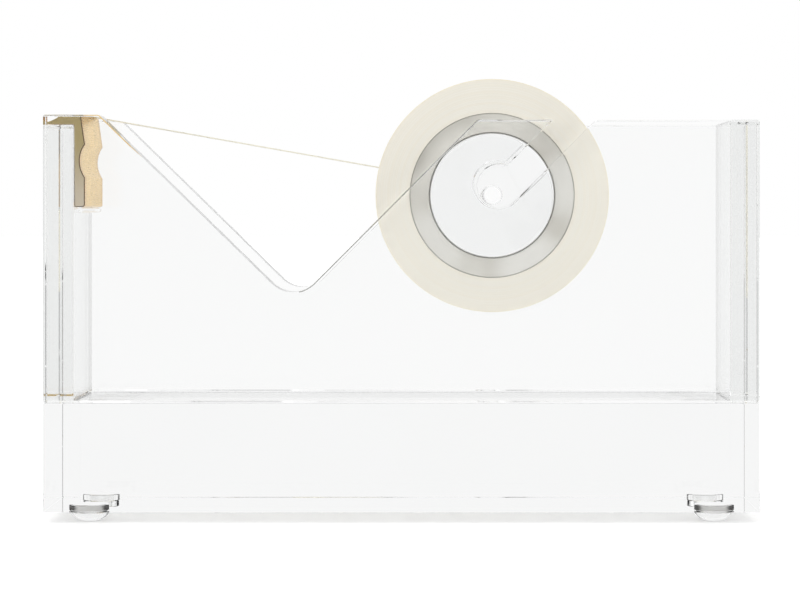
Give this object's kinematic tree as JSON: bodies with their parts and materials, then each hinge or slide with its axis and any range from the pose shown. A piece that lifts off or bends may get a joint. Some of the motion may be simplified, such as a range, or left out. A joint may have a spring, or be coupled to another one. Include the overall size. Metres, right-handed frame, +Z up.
{
  "type": "tape dispenser",
  "caption": "Clear acrylic desk tape dispenser: solid base, slotted side panels, metal cutter, and a roll of tape on a lift-out hub.",
  "frame": {"origin": "middle of the body's length and depth, on the plane that the four feet stand on", "axes": "+X along the body from the cutter to the roll end, -Y towards the front panel, +Z up"},
  "size_m": [0.147, 0.0342, 0.0909],
  "materials": {
    "clear_acrylic": "flame-polished clear cast acrylic",
    "gold_cutter": "satin gold-plated extrusion",
    "clear_adhesive": "clear double-sided film",
    "clear_bumper": "clear soft polyurethane",
    "core_plastic": "fine matt moulded grey",
    "wound_tape": "edges of many layers of clear tape",
    "tape_film": "single layer of clear tape"
  },
  "bodies": {
    "root": {"back_panel": "clear_acrylic", "base_block": "clear_acrylic", "cutter_blade": "gold_cutter", "cutter_bond": "clear_adhesive", "cutter_end_wall": "clear_acrylic", "foot_back_left": "clear_bumper", "foot_back_right": "clear_bumper", "foot_front_left": "clear_bumper", "foot_front_right": "clear_bumper", "foot_glue_back_left": "clear_adhesive", "foot_glue_back_right": "clear_adhesive", "foot_glue_front_left": "clear_adhesive", "foot_glue_front_right": "clear_adhesive", "front_panel": "clear_acrylic", "roll_end_wall": "clear_acrylic", "stop_pin": "clear_acrylic"},
    "axle": {"axle_rod": "clear_acrylic", "tape_lead": "tape_film"},
    "roll": {"hub_wheel": "clear_acrylic", "tape_core": "core_plastic", "tape_winding": "wound_tape"}
  },
  "joints": [
    {"name": "roll_lift", "type": "slide", "parent": "root", "child": "axle", "axis": [0.7071, 0, 0.7071], "range_m": [0, 0.036]},
    {"name": "roll_spin", "type": "hinge", "parent": "axle", "child": "roll", "pos_m": [0.01861, 0, 0.06682], "axis": [0, 1, 0], "continuous": true}
  ]
}
